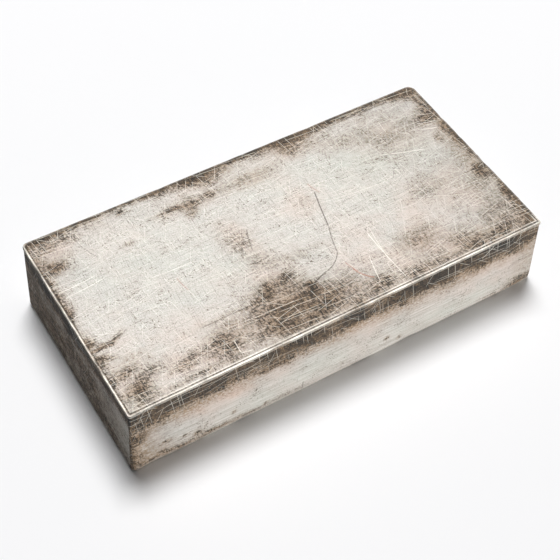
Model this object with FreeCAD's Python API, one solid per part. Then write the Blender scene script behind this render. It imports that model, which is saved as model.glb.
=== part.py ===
"""A hundred-ounce pressed silver bar, as one solid.

Frame, in millimetres: +X runs along the bar, +Y across it and +Z up. The origin is the centre of the
bar's underside, on the plane that it rests on. The bar lies with its plain face up.

The section narrows upwards by the draft that lets the bar leave its die. The die's upper land leaves a
thin lip right round the plain face. The underside's edge and the bar's upright corners are worn round.
"""
import FreeCAD, Part

import math
import os

# Overall size, measured on the underside, where the bar is largest.
LENGTH = 147.0
WIDTH = 74.1
HEIGHT = 27.9

# The four sides lean in by this much as they rise.
DRAFT_DEG = 2.5

# Upright corners, seen from above, at the underside.
FRONT_LEFT_CORNER_R = 1.8
FRONT_RIGHT_CORNER_R = 1.8
BACK_RIGHT_CORNER_R = 3.8
BACK_LEFT_CORNER_R = 2.8

# Rounding of the edge all round the underside.
FOOT_EDGE_R = 1.3

# The thin lip round the plain face: how far it stands out from the sides, its depth, and its rounding.
LIP_PROUD = 0.30
LIP_DEPTH = 1.10
LIP_EDGE_R = 0.25

# A lip that overhung its own corner would have no metal under it, so its corners keep this radius.
LEAST_CORNER_R = 0.5


def lean_at(z):
    """How far each side has moved in at height z."""
    return z * math.tan(math.radians(DRAFT_DEG))


def corner_radii(inset):
    """The four corner radii, anticlockwise from the front left, of an outline set in by inset."""
    at_underside = (
        FRONT_LEFT_CORNER_R,
        FRONT_RIGHT_CORNER_R,
        BACK_RIGHT_CORNER_R,
        BACK_LEFT_CORNER_R,
    )
    return [max(radius - inset, LEAST_CORNER_R) for radius in at_underside]


def outline(z, proud=0.0):
    """The bar's outline at height z as a closed wire: four straight sides joined by corner arcs.

    proud moves the outline out from the sides.
    """
    inset = lean_at(z) - proud
    half_x = LENGTH / 2 - inset
    half_y = WIDTH / 2 - inset
    # Each corner: its sign along X and Y, and the angle at which its arc starts.
    corners = ((-1, -1, 180), (1, -1, 270), (1, 1, 0), (-1, 1, 90))
    arcs = []
    for (sign_x, sign_y, start_deg), radius in zip(corners, corner_radii(inset)):
        centre_x = sign_x * (half_x - radius)
        centre_y = sign_y * (half_y - radius)
        points = []
        for turn_deg in (0, 45, 90):
            angle = math.radians(start_deg + turn_deg)
            x = centre_x + radius * math.cos(angle)
            y = centre_y + radius * math.sin(angle)
            points.append(FreeCAD.Vector(x, y, z))
        arcs.append(points)
    edges = []
    for index, (start, middle, end) in enumerate(arcs):
        edges.append(Part.Arc(start, middle, end).toShape())
        next_start = arcs[(index + 1) % len(arcs)][0]
        edges.append(Part.LineSegment(end, next_start).toShape())
    return Part.Wire(edges)


def tapered(z_low, z_high, proud=0.0):
    """A solid between two heights that follows the draft, moved out from the sides by proud."""
    return Part.makeLoft([outline(z_low, proud), outline(z_high, proud)], True, True)


def edges_at(solid, z):
    """The edges of a solid that lie in the plane at height z."""
    found = []
    for edge in solid.Edges:
        box = edge.BoundBox
        if abs(box.ZMin - z) < 1e-6 and abs(box.ZMax - z) < 1e-6:
            found.append(edge)
    return found


def silver_bar():
    """The whole bar: its drafted body with a rounded foot, and the lip round its plain face."""
    body = tapered(0.0, HEIGHT)
    body = body.makeFillet(FOOT_EDGE_R, edges_at(body, 0.0))
    lip_bottom = HEIGHT - LIP_DEPTH
    lip = tapered(lip_bottom, HEIGHT, LIP_PROUD)
    lip = lip.makeFillet(LIP_EDGE_R, edges_at(lip, HEIGHT) + edges_at(lip, lip_bottom))
    return body.fuse(lip).removeSplitter()


def write_part(name, shape):
    """Writes one sub-part's STEP file, named for its node."""
    os.makedirs("parts", exist_ok=True)
    shape.exportStep(os.path.join("parts", name + ".step"))
    box = shape.optimalBoundingBox(False)
    print(
        f"{name}: {len(shape.Solids)} solid, valid {shape.isValid()}, "
        f"{box.XLength:.2f} x {box.YLength:.2f} x {box.ZLength:.2f} mm, "
        f"{shape.Volume / 1000:.2f} cm3"
    )


write_part("silver_bar", silver_bar())
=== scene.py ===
"""The looks of a hundred-ounce silver bar: its worn edges, tarnish, scratches and soft studio.

The bar lies on its underside. +X runs along it, -Y is its front and +Z is up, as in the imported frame.
Sizes are in millimetres in the classes below, and become metres when a mesh is written.
"""
import logging
import math
from dataclasses import dataclass, field
from enum import Enum
from typing import Any, Optional

import bpy
import numpy as np
from mathutils import Matrix, Vector


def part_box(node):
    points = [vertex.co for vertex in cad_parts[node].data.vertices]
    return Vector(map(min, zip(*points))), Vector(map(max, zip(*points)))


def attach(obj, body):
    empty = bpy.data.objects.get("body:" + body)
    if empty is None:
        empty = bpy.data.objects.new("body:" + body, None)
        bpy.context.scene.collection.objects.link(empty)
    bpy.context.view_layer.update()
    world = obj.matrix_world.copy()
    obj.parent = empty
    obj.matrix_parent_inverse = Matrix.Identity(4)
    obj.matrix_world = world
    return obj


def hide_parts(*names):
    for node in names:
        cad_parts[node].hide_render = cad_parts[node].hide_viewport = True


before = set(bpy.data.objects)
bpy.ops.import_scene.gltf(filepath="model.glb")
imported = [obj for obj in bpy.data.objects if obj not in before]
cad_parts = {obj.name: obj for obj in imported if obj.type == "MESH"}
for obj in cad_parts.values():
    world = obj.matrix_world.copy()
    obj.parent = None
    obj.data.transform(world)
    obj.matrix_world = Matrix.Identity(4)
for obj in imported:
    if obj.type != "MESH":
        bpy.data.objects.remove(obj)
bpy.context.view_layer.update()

MM = 0.001
NODE = "silver_bar"
FACE_MAP = "FaceMillimetres"
BAKE_MAP = "OFBake"
# How far the groove of the rolled edge lies inside the lip's edge, in millimetres.
GROOVE_IN = 0.95

log = logging.getLogger("silver_bar")


# ---------------------------------------------------------------------------------------------------
# Small tools
# ---------------------------------------------------------------------------------------------------


def linear(hex_colour: str) -> tuple[float, float, float, float]:
    """Turns an sRGB hex colour into linear red, green, blue and alpha.

    Args:
        hex_colour: Six hex digits after a hash sign.

    Returns:
        The colour in linear light, with an alpha of one.
    """
    channels = []
    for start in (1, 3, 5):
        value = int(hex_colour[start:start + 2], 16) / 255
        channels.append(value / 12.92 if value <= 0.04045 else ((value + 0.055) / 1.055) ** 2.4)
    return (channels[0], channels[1], channels[2], 1.0)


def add_node(
    tree: bpy.types.NodeTree,
    kind: str,
    settings: Optional[dict[str, Any]] = None,
    inputs: Optional[dict[Any, Any]] = None,
    output: Any = 0,
) -> Any:
    """Adds one shader node, sets it and links it.

    Args:
        tree: The node tree that takes the node.
        kind: The node's type, without its ShaderNode prefix.
        settings: Values of the node's own properties, by name.
        inputs: Values or source sockets, by input name or number.
        output: The name or number of the output that is wanted.

    Returns:
        The wanted output socket, or the node itself if it has no outputs.
    """
    node = tree.nodes.new("ShaderNode" + kind)
    for name, value in (settings or {}).items():
        setattr(node, name, value)
    for key, value in (inputs or {}).items():
        if isinstance(value, bpy.types.NodeSocket):
            tree.links.new(value, node.inputs[key])
        else:
            node.inputs[key].default_value = value
    return node.outputs[output] if len(node.outputs) else node


def cloud(points: np.ndarray, size: float, seed: int, octaves: int = 3) -> np.ndarray:
    """Soft random noise at points: random values on a cubic lattice, blended smoothly between its corners.

    Each further octave has half the size and half the strength.

    Args:
        points: Positions in millimetres, one row of three each.
        size: The lattice spacing of the first octave, in millimetres.
        seed: The seed of the random values.
        octaves: How many lattices are added.

    Returns:
        One value for each point, from about -1 to 1.
    """
    total = np.zeros(len(points))
    weight = 1.0
    weights = 0.0
    for octave in range(octaves):
        lattice = np.random.default_rng(seed + octave).uniform(-1.0, 1.0, (32, 32, 32))
        place = points / (size / 2**octave) + 100.0
        cell = np.floor(place).astype(int)
        part = place - cell
        part = part * part * (3 - 2 * part)
        value = np.zeros(len(points))
        for corner in range(8):
            step = np.array([corner >> 2 & 1, corner >> 1 & 1, corner & 1])
            share = np.prod(np.where(step, part, 1 - part), axis=1)
            index = (cell + step) % 32
            value += share * lattice[index[:, 0], index[:, 1], index[:, 2]]
        total += weight * value
        weights += weight
        weight *= 0.5
    return total / weights * 1.6


# ---------------------------------------------------------------------------------------------------
# Where things lie on the bar
# ---------------------------------------------------------------------------------------------------


class Face(Enum):
    """The bar's six faces: two axes along the face, their senses, its plane, and its place on the face map.

    The axes are numbered 0 to 2 for X, Y and Z. A face's own coordinates are u, along its first axis, and
    v, along its second, both in millimetres. The last pair moves it to a place of its own on the map.
    """

    TOP = (0, 1, 1, 27.9, (0.0, 0.0))
    FRONT = (0, 2, 1, -36.4, (0.0, -100.0))
    RIGHT = (1, 2, 1, 72.9, (0.0, -150.0))
    BACK = (0, 2, -1, 36.4, (0.0, -200.0))
    LEFT = (1, 2, -1, -72.9, (0.0, -250.0))
    UNDERSIDE = (0, 1, -1, 0.0, (0.0, -350.0))

    @property
    def u_axis(self) -> int:
        """The axis that u runs along."""
        return self.value[0]

    @property
    def v_axis(self) -> int:
        """The axis that v runs along."""
        return self.value[1]

    @property
    def u_sense(self) -> int:
        """One where u grows with its axis, and minus one where it falls."""
        return self.value[2]

    @property
    def plane(self) -> float:
        """Where the face lies along the axis square to it."""
        return self.value[3]

    @property
    def place(self) -> tuple[float, float]:
        """What is added to u and v on the face map."""
        return self.value[4]

    def on_map(self, u: float, v: float) -> tuple[float, float, float]:
        """The face map's coordinates of a point on the face."""
        return (u + self.place[0], v + self.place[1], 0.0)


class Mark(Enum):
    """What a patch of the surface carries. The value names the mesh attribute that holds it. The tarnish and
    grey marks are partly the metal's own toning and partly painted shade: they darken the whole left end and the
    front's corner beside it.
    """

    TARNISH = "tarnish"
    BROWN = "brown"
    PINK = "pink"
    GREEN = "green"
    GREY = "grey"


class Line(Enum):
    """The kinds of single line that are drawn one by one."""

    BRIGHT = "bright"
    DARK = "dark"
    RUST = "rust"


@dataclass(frozen=True)
class Patch:
    """A soft elliptical patch on a face.

    Its strength is amount times e to the minus r to the power firm, where r is the distance from the
    centre in units of the half sizes, after the point has been shifted by noise.
    """

    u: float
    v: float
    half_u: float
    half_v: float
    amount: float
    turn_deg: float = 0.0
    firm: float = 2.0


@dataclass(frozen=True)
class Scratch:
    """A single line on a face, from start to end, with a bow at its middle, in millimetres."""

    face: Face
    start: tuple[float, float]
    end: tuple[float, float]
    width: float = 0.3
    bow: float = 0.0
    strength: float = 1.0


@dataclass(frozen=True)
class Dent:
    """A soft hollow: its centre, its half width and its depth, in millimetres."""

    centre: tuple[float, float, float]
    half: tuple[float, float, float]
    depth: float


TOP_PATCHES: dict[Mark, tuple[Patch, ...]] = {
    Mark.TARNISH: (
        # The big stain towards the front, and what trails off it.
        Patch(-12, -25.5, 9, 4.5, 0.62),
        Patch(-13, -28.5, 6, 2.0, 0.30),
        Patch(-17, -17, 4, 3.5, 0.42, 30),
        Patch(-9, -16, 5, 3.0, 0.30),
        Patch(-12, -32.5, 8, 2.5, 0.42),
        Patch(-22, -31, 7, 4.0, 0.30),
        Patch(-3.5, -21, 1.8, 1.2, 0.75, 20),
        Patch(-5, -24, 2.2, 1.5, 0.30, 60),
        Patch(-2, -30, 4, 5.0, 0.30),
        Patch(4, -27, 5, 6.0, 0.32),
        Patch(-16, -22, 9, 6.0, 0.25),
        Patch(-36, -28, 6, 4.0, 0.32),
        Patch(-34, -24, 8, 4.0, 0.12),
        Patch(-50, -28, 5, 2.0, 0.34),
        Patch(-28, -19, 16, 0.8, 0.20),
        # Front edge, from left to right.
        Patch(-66, -30, 4, 3.5, 0.52),
        Patch(-62, -26, 7, 2.0, 0.26, 15),
        Patch(-67, -22.5, 5, 1.8, 0.40, 5),
        Patch(-48, -33.5, 12, 1.2, 0.30),
        Patch(14, -31, 6, 3.0, 0.26),
        Patch(28, -33, 12, 2.0, 0.30),
        Patch(48, -30, 7, 3.0, 0.36),
        Patch(58, -33, 12, 2.0, 0.36),
        Patch(63, -27, 6, 5.0, 0.26),
        Patch(35, -23, 6, 4.0, 0.22),
        Patch(70, -31, 3, 4.0, 0.46),
        # Left end, from front to back.
        Patch(-69, -15, 3.5, 1.1, 0.55, -8),
        Patch(-67, -10.6, 6, 0.9, 0.62, 15),
        Patch(-71, -8.5, 2, 1.2, 0.55),
        Patch(-71.5, 3, 1.2, 3.0, 0.42),
        Patch(-71, 12, 1.2, 1.6, 0.34),
        Patch(-71, 17, 1.4, 1.4, 0.45),
        Patch(-67.5, 22.6, 3.2, 2.2, 0.62),
        Patch(-70.5, 27.5, 1.6, 3.0, 0.42),
        Patch(-65, 31.5, 7, 2.0, 0.40),
        # Back edge, from left to right.
        Patch(-66, 35.2, 9, 1.4, 0.70),
        Patch(-52, 35.5, 6, 0.8, 0.34),
        Patch(-40, 32.5, 2.0, 0.8, 0.30),
        Patch(-32, 35.2, 8, 1.0, 0.42),
        Patch(-11, 34.2, 8, 2.2, 0.74),
        Patch(-10, 31, 4, 2.0, 0.32),
        Patch(6, 35.2, 8, 1.0, 0.30),
        Patch(21, 33.5, 10, 2.6, 0.62),
        Patch(19.5, 30, 3.0, 1.6, 0.50),
        Patch(38, 34.4, 10, 1.8, 0.50),
        Patch(52, 34.6, 10, 1.4, 0.48),
        Patch(66, 33.6, 6, 2.4, 0.58),
        Patch(26, 27.5, 8, 2.5, 0.18),
        Patch(37, 24, 6, 2.5, 0.18),
        # The streak of specks behind the middle.
        Patch(-26, 25.2, 5, 1.4, 0.60, 2),
        Patch(-20, 25.0, 3, 2.6, 0.42),
        Patch(-12.5, 25.4, 3.5, 1.8, 0.52, 5),
        Patch(-21, 21.5, 2.0, 1.6, 0.44),
        Patch(-44, 20, 2, 0.8, 0.26),
        Patch(1, 25.5, 9, 2.4, 0.20),
        # Right end.
        Patch(70.2, 27, 1.8, 6, 0.60),
        Patch(66.5, 20, 3.0, 3.0, 0.46),
        Patch(70.6, 14, 1.6, 5, 0.46),
        Patch(68.6, -7.5, 2.0, 3.2, 0.60, 10),
        Patch(65.5, 10, 1.5, 2.0, 0.34),
        Patch(70.8, 0, 1.6, 6, 0.34),
        Patch(70.6, -20, 1.8, 8, 0.40),
        Patch(64, -15, 5, 6, 0.20),
        # A wide thin zone along the front.
        Patch(-44, -28, 22, 5, 0.08),
        Patch(30, -29, 34, 5, 0.11),
        Patch(-30, 29, 26, 4, 0.05),
        Patch(-66, 26, 8, 8, 0.08),
        # Thin speckle in the middle.
        Patch(-14, 5, 5, 8, 0.20),
        Patch(-12, -6, 6, 5, 0.18),
        Patch(-1, -9, 8, 2.0, 0.16),
        Patch(12, 9, 6, 5, 0.06),
        Patch(52, 18, 9, 9, 0.16),
        Patch(50, -6, 10, 5, 0.12),
    ),
    Mark.BROWN: (
        Patch(-12, -23, 10, 8, 0.75),
        Patch(-34, -26, 9, 6, 0.40),
        Patch(-9, 33, 10, 3, 0.80),
        Patch(2, 25, 10, 4, 0.55),
        Patch(22, 31, 10, 4, 0.60),
        Patch(50, 20, 14, 10, 0.35),
        Patch(-66, 24, 5, 3, 0.40),
        Patch(-64, -19, 7, 3, 0.50),
        Patch(35, -22, 8, 5, 0.45),
        Patch(58, -8, 10, 10, 0.30),
        Patch(69, 2, 4, 14, 0.45),
        Patch(48, -31, 10, 4, 0.35),
        Patch(-22, 25, 8, 3, 0.30),
    ),
    Mark.PINK: (
        Patch(-15, -12, 10, 5, 0.50),
        Patch(12, 8, 8, 7, 0.40),
        Patch(20, -18, 18, 10, 0.35),
        Patch(-50, -20, 14, 5, 0.35),
        Patch(48, -12, 14, 8, 0.45),
        Patch(-62, 29, 8, 4, 0.45),
        Patch(-14, 4, 5, 8, 0.35),
        Patch(30, -30, 14, 5, 0.35),
        Patch(-38, 24, 6, 4, 0.25),
        Patch(-46, -28, 24, 7, 0.55),
        Patch(36, -24, 30, 8, 0.40),
        Patch(-66, -12, 6, 6, 0.30),
    ),
    Mark.GREEN: (
        Patch(-66, -31, 5, 4, 0.75),
        Patch(35, 10, 16, 14, 0.40),
        Patch(-40, 12, 22, 12, 0.30),
        Patch(68.5, -8, 4, 8, 0.60),
        Patch(-25, -5, 20, 6, 0.30),
        Patch(66, -22, 6, 6, 0.40),
        Patch(60, 12, 8, 8, 0.30),
        Patch(28, -25, 5, 6, 0.25),
        Patch(10, 20, 14, 6, 0.25),
    ),
    Mark.GREY: (
        Patch(72, 0, 26, 60, 0.26),
        Patch(40, -36, 46, 20, 0.16),
        Patch(60, 36, 40, 18, 0.12),
        Patch(-12, -30, 20, 12, 0.40),
        Patch(-72, 26, 8, 12, 0.25),
    ),
}

FRONT_PATCHES: dict[Mark, tuple[Patch, ...]] = {
    Mark.TARNISH: (
        # The dark band under the lip, made of long patches of different depth.
        Patch(-66, 25.5, 9, 4.7, 1.06, 0, 3.2),
        Patch(-52, 25.0, 10, 4.3, 0.96, 0, 3.2),
        Patch(-38, 25.0, 10, 4.7, 0.91, 0, 3.2),
        Patch(-22, 25.0, 12, 5.3, 0.93, 0, 3.2),
        Patch(-6, 25.0, 10, 4.9, 0.85, 0, 3.2),
        Patch(8, 25.0, 9, 4.7, 0.77, 0, 3.2),
        Patch(8, 22.3, 9, 0.9, 0.40),
        Patch(26, 25.0, 12, 5.7, 1.09, 0, 3.2),
        Patch(46, 25.0, 14, 5.9, 1.11, 0, 3.2),
        Patch(64, 24.6, 10, 6.1, 1.06, 0, 3.2),
        Patch(-25, 19.5, 6, 1.6, 0.40),
        Patch(-58, 20.5, 8, 2.0, 0.34),
        # Spots and short dashes lower down.
        Patch(-62, 7.2, 1.8, 0.5, 0.75),
        Patch(-51, 4.2, 1.2, 0.7, 0.95),
        Patch(-55.4, 6.8, 0.8, 0.5, 0.65),
        Patch(-39.3, 5.6, 0.7, 0.5, 0.75),
        Patch(-28.2, 3.2, 0.8, 0.8, 0.70),
        Patch(15.6, 5.6, 0.9, 0.8, 0.95),
        Patch(20.6, 3.6, 0.8, 0.6, 0.85),
        Patch(-64, 4.2, 2.5, 1.2, 0.45),
        # Along the foot.
        Patch(-58, 2.0, 14, 1.2, 0.62),
        Patch(-36, 1.6, 12, 1.1, 0.42),
        Patch(70, 2.6, 6, 2.0, 0.78),
        Patch(60, 1.2, 8, 0.8, 0.40),
        # Painted shade down the front's rounded corner next to the left end.
        Patch(-72, 12, 3.0, 12, 0.60),
    ),
    Mark.BROWN: (
        Patch(-50, 18.8, 20, 3.6, 1.10),
        Patch(-10, 19.0, 26, 3.0, 0.80),
        Patch(10, 21.5, 12, 4.0, 0.80),
        Patch(50, 18.4, 26, 3.2, 1.00),
        Patch(-70, 10, 4, 10, 0.80),
        Patch(70, 12, 5, 9, 0.50),
        Patch(24, 16, 10, 3, 0.35),
        Patch(-66, 4, 8, 4, 0.50),
    ),
    Mark.PINK: (
        Patch(-48, 16, 16, 4, 0.55),
        Patch(-66, 12, 8, 8, 0.50),
        Patch(55, 15, 20, 4, 0.50),
        Patch(60, 8, 16, 6, 0.40),
        Patch(4, 15, 14, 4, 0.35),
        Patch(-30, 14, 12, 3, 0.40),
    ),
    Mark.GREEN: (
        Patch(-8, 8, 24, 6, 0.35),
        Patch(40, 5, 24, 5, 0.35),
        Patch(-58, 21, 5, 3, 0.35),
        Patch(-34, 6, 14, 5, 0.20),
    ),
    Mark.GREY: (
        # Painted shade on the front's left end, beside the shaded left end.
        Patch(-76, 12, 14, 20, 0.65),
        Patch(76, 10, 16, 20, 0.22),
        Patch(-40, 0, 40, 2.5, 0.55),
        Patch(0, 14, 80, 5, 0.10),
    ),
}

# On the left end, the broad tarnish and grey patches are partly the end's own toning and partly painted shade,
# which darkens the whole end face.
LEFT_PATCHES: dict[Mark, tuple[Patch, ...]] = {
    Mark.TARNISH: (
        Patch(30, 25.5, 12, 3.6, 0.72, 0, 4),
        Patch(10, 25.2, 14, 4.0, 0.90, 0, 4),
        Patch(-8, 25.0, 14, 4.4, 1.00, 0, 4),
        Patch(-28, 25.0, 14, 4.6, 1.00, 0, 4),
        Patch(10, 12, 3.5, 1.8, 0.45, -20),
        Patch(-9, 9, 3.5, 1.6, 0.45, 8),
        Patch(-13, 14, 2.0, 2.0, 0.35, 20),
        Patch(-20, 8, 18, 9, 0.50),
        Patch(-34, 12, 3.5, 14, 0.55),
        Patch(6, 15, 22, 6, 0.44),
        Patch(16, 4, 20, 4, 0.52),
    ),
    Mark.BROWN: (
        Patch(12, 14, 12, 6, 0.25),
        Patch(30, 14, 6, 8, 0.25),
    ),
    Mark.PINK: (Patch(4, 12, 16, 7, 0.15),),
    Mark.GREEN: (
        Patch(32, 14, 6, 9, 0.70),
        Patch(-10, 8, 20, 8, 0.25),
    ),
    Mark.GREY: (
        Patch(6, 12, 22, 18, 0.55, 0, 4),
        Patch(-26, 12, 18, 18, 0.95, 0, 4),
        Patch(28, 4, 10, 5, 0.45),
    ),
}

# The right end and the back have the front's kinds of mark: a band under the lip, a soft brown fringe
# below it, spots, and a darker foot.
RIGHT_PATCHES: dict[Mark, tuple[Patch, ...]] = {
    Mark.TARNISH: (
        Patch(-26, 25.2, 12, 4.2, 0.90, 0, 4),
        Patch(-6, 25.0, 12, 4.8, 0.95, 0, 4),
        Patch(14, 25.4, 12, 3.8, 0.82, 0, 4),
        Patch(31, 25.0, 8, 4.6, 0.92, 0, 4),
        Patch(-14, 6, 1.0, 0.7, 0.80),
        Patch(9, 9, 1.6, 0.5, 0.60),
        Patch(22, 3, 9, 1.3, 0.45),
        Patch(-30, 2, 8, 1.3, 0.55),
        Patch(35, 12, 2, 10, 0.34),
    ),
    Mark.BROWN: (Patch(-10, 18.6, 20, 2.8, 0.65), Patch(22, 18.6, 14, 2.6, 0.50), Patch(-33, 9, 5, 8, 0.50)),
    Mark.PINK: (Patch(-20, 14, 14, 5, 0.45), Patch(18, 12, 12, 6, 0.35)),
    Mark.GREEN: (Patch(2, 7, 18, 6, 0.40),),
    Mark.GREY: (Patch(0, 12, 50, 16, 0.28),),
}

BACK_PATCHES: dict[Mark, tuple[Patch, ...]] = {
    Mark.TARNISH: (
        Patch(-60, 25.2, 16, 4.4, 0.92, 0, 4),
        Patch(-36, 25.2, 14, 4.0, 0.84, 0, 4),
        Patch(-12, 24.8, 14, 5.0, 0.96, 0, 4),
        Patch(12, 25.4, 14, 3.8, 0.78, 0, 4),
        Patch(36, 25.0, 14, 4.6, 0.94, 0, 4),
        Patch(60, 25.2, 15, 4.2, 0.88, 0, 4),
        Patch(-44, 8, 1.3, 0.8, 0.85),
        Patch(-18, 5, 1.0, 0.6, 0.70),
        Patch(27, 7, 2.2, 0.5, 0.65),
        Patch(51, 4, 1.0, 0.8, 0.80),
        Patch(40, 1.8, 20, 1.2, 0.50),
        Patch(-50, 1.8, 18, 1.2, 0.55),
        Patch(3, 13, 7, 3, 0.26),
    ),
    Mark.BROWN: (
        Patch(-45, 18.5, 24, 2.8, 0.65),
        Patch(8, 18.6, 22, 2.8, 0.50),
        Patch(52, 18.5, 18, 2.8, 0.65),
    ),
    Mark.PINK: (Patch(-50, 14, 18, 5, 0.45), Patch(30, 14, 20, 5, 0.45)),
    Mark.GREEN: (Patch(-12, 7, 26, 6, 0.35), Patch(60, 8, 10, 6, 0.30)),
    Mark.GREY: (Patch(0, 12, 90, 16, 0.22),),
}

UNDERSIDE_PATCHES: dict[Mark, tuple[Patch, ...]] = {
    Mark.TARNISH: (
        Patch(-62, 28, 10, 6, 0.55),
        Patch(60, -27, 11, 7, 0.60),
        Patch(-55, -30, 14, 4, 0.45),
        Patch(52, 30, 16, 4, 0.50),
        Patch(14, -8, 12, 8, 0.40),
        Patch(-20, 12, 14, 7, 0.32),
        Patch(-70, 0, 3, 20, 0.40),
        Patch(70, 4, 3, 18, 0.45),
        Patch(0, 34, 40, 2, 0.40),
        Patch(4, -34, 44, 2, 0.45),
    ),
    Mark.BROWN: (Patch(16, -9, 16, 10, 0.60), Patch(-20, 12, 18, 9, 0.45), Patch(54, 26, 16, 8, 0.40)),
    Mark.PINK: (Patch(-40, -10, 20, 12, 0.40), Patch(44, 4, 18, 12, 0.35)),
    Mark.GREEN: (Patch(-10, -24, 26, 8, 0.35), Patch(30, 22, 18, 8, 0.30)),
    Mark.GREY: (Patch(0, 0, 100, 60, 0.20),),
}

PATCHES: dict[Face, dict[Mark, tuple[Patch, ...]]] = {
    Face.TOP: TOP_PATCHES,
    Face.FRONT: FRONT_PATCHES,
    Face.LEFT: LEFT_PATCHES,
    Face.RIGHT: RIGHT_PATCHES,
    Face.BACK: BACK_PATCHES,
    Face.UNDERSIDE: UNDERSIDE_PATCHES,
}

SCRATCHES: dict[Line, tuple[Scratch, ...]] = {
    Line.DARK: (
        # The long hair line that bends round to the stain.
        Scratch(Face.TOP, (17.2, 10.5), (13.2, -4.5), 0.34, 0.1, 0.85),
        Scratch(Face.TOP, (13.4, -4.0), (10.0, -14.5), 0.30, 0.3, 0.70),
        Scratch(Face.TOP, (10.1, -14.2), (3.0, -19.3), 0.30, -0.9, 0.75),
        Scratch(Face.TOP, (3.2, -19.2), (-3.6, -21.8), 0.34, 0.2, 0.90),
        Scratch(Face.TOP, (-9.4, 7.5), (-12.2, -1.0), 0.34, 0.3, 0.60),
        Scratch(Face.TOP, (-41.0, -19.0), (-3.0, -18.6), 0.36, 0.2, 0.55),
        Scratch(Face.TOP, (-3.8, -22.0), (-6.4, -27.0), 0.60, 0.3, 0.70),
        Scratch(Face.TOP, (-20.0, -15.6), (-16.2, -20.0), 0.50, 0.3, 0.70),
        Scratch(Face.TOP, (-72.0, -12.6), (-60.5, -9.2), 0.50, -0.3, 0.75),
        Scratch(Face.TOP, (0.5, -21.5), (2.0, -32.0), 0.30, 0.2, 0.50),
        Scratch(Face.TOP, (-57.5, 30.5), (-54.0, 19.5), 0.25, 0.6, 0.40),
        Scratch(Face.TOP, (45.0, 7.0), (42.0, 2.5), 0.25, -0.4, 0.40),
        Scratch(Face.TOP, (40.0, 33.2), (60.0, 33.0), 0.45, 0.1, 0.60),
        Scratch(Face.FRONT, (-36.0, 23.0), (12.0, 21.8), 0.35, 0.2, 0.50),
        Scratch(Face.FRONT, (-15.0, 4.6), (-15.3, 0.4), 0.35, 0.1, 0.60),
        Scratch(Face.FRONT, (-72.0, 21.0), (-58.0, 26.5), 0.50, 1.2, 0.70),
    ),
    Line.BRIGHT: (
        Scratch(Face.TOP, (45.0, 13.2), (59.0, 8.4), 0.20, 0.2, 0.45),
        Scratch(Face.TOP, (22.2, -12.0), (23.0, -33.2), 0.21, 0.3, 0.45),
        Scratch(Face.TOP, (24.0, -10.5), (22.0, -25.5), 0.16, 0.2, 0.36),
        Scratch(Face.TOP, (17.8, -20.0), (15.0, -31.0), 0.20, 0.2, 0.41),
        Scratch(Face.TOP, (21.2, -22.5), (20.6, -30.0), 0.16, 0.1, 0.36),
        Scratch(Face.TOP, (-44.0, 4.8), (-29.0, 4.2), 0.16, 0.2, 0.36),
        Scratch(Face.TOP, (-71.0, 13.0), (-58.0, 14.0), 0.18, 0.2, 0.41),
        Scratch(Face.TOP, (-70.0, 10.4), (-56.0, 11.8), 0.18, 0.2, 0.41),
        Scratch(Face.TOP, (15.0, 5.4), (41.0, 2.6), 0.16, 0.4, 0.27),
        Scratch(Face.TOP, (62.0, 17.0), (68.5, 14.6), 0.18, 0.2, 0.45),
        Scratch(Face.TOP, (63.0, 19.4), (70.0, 17.6), 0.16, 0.2, 0.45),
        Scratch(Face.TOP, (66.0, 23.0), (70.5, 21.0), 0.16, 0.2, 0.41),
        Scratch(Face.TOP, (-68.0, -5.6), (-62.0, -8.6), 0.16, 0.1, 0.32),
        Scratch(Face.TOP, (-25.0, -23.6), (-11.0, -23.9), 0.16, 0.1, 0.36),
        Scratch(Face.TOP, (53.0, 30.0), (52.0, 21.0), 0.16, 0.1, 0.32),
        Scratch(Face.TOP, (-34.0, -27.5), (-34.4, -32.6), 0.22, 0.1, 0.45),
        Scratch(Face.TOP, (-34.4, -32.6), (-31.0, -33.2), 0.24, 0.0, 0.45),
        Scratch(Face.TOP, (47.0, -9.0), (60.0, -15.0), 0.15, 0.2, 0.27),
        Scratch(Face.FRONT, (50.0, 23.2), (54.5, 27.0), 0.22, 0.2, 0.45),
    ),
    Line.RUST: (
        Scratch(Face.TOP, (10.5, -22.0), (14.5, -28.5), 0.36, 0.7, 0.9),
        Scratch(Face.TOP, (9.8, -19.0), (11.5, -24.0), 0.30, 0.2, 0.6),
        Scratch(Face.TOP, (17.0, 14.5), (18.6, 9.0), 0.30, 0.2, 0.5),
        Scratch(Face.TOP, (-37.5, 1.0), (-36.5, -5.0), 0.30, 0.2, 0.5),
    ),
}

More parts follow.
